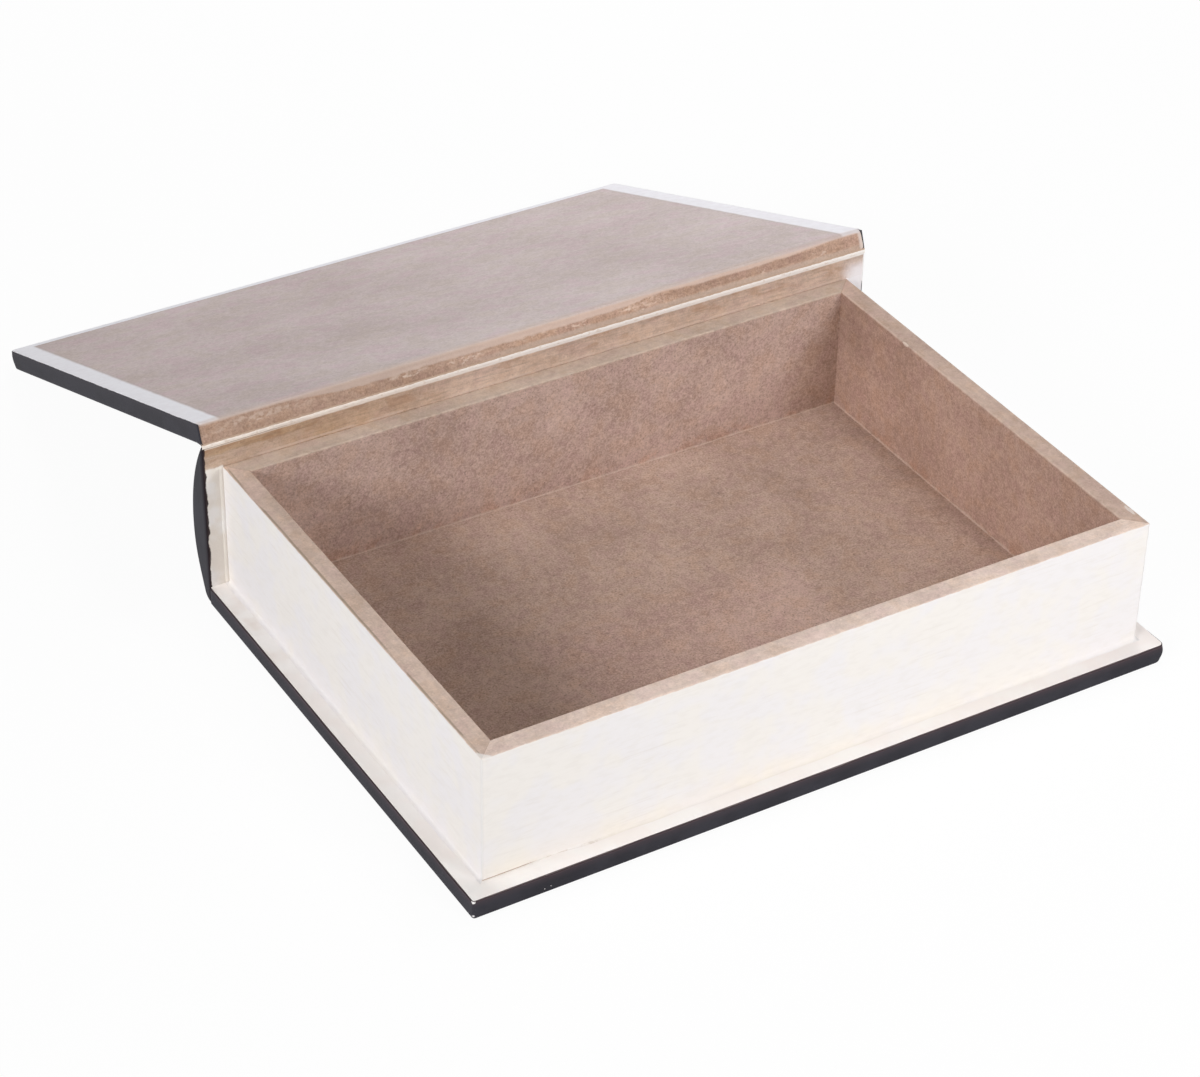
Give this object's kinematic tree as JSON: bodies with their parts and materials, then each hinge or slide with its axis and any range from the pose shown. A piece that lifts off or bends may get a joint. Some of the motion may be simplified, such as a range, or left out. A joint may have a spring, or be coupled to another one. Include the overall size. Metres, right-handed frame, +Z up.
{
  "type": "book box",
  "caption": "Shallow keepsake box in the form of a thick book: mitred tray with page-coloured edges, overhanging cover boards, rounded spine, and a lid that folds back on its covering.",
  "frame": {"origin": "centre of the underside of the base board, on the surface that the box stands on", "axes": "+X along the spine towards the head, +Y from the fore edge towards the spine, +Z up"},
  "size_m": [0.3, 0.4088, 0.082],
  "materials": {
    "fibreboard": "raw sanded fibreboard, matt",
    "page_paint": "fibreboard, brushed off-white paint on the outer face, matt",
    "covering": "thin charcoal leatherette, satin",
    "hinge_lining": "cream cloth back of the covering"
  },
  "bodies": {
    "box": {"base_board": "fibreboard", "base_covering": "covering", "spine_board": "fibreboard", "spine_covering": "covering", "fore_edge_wall": "page_paint", "spine_side_wall": "fibreboard", "head_wall": "page_paint", "tail_wall": "page_paint"},
    "lid": {"lid_board": "fibreboard", "lid_covering": "covering", "hinge_strip": "hinge_lining"}
  },
  "joints": [
    {"name": "lid_hinge", "type": "hinge", "parent": "box", "child": "lid", "pos_m": [0, 0.1045, 0.0726], "axis": [1, 0, 0], "range_deg": [0, 200.9]}
  ]
}
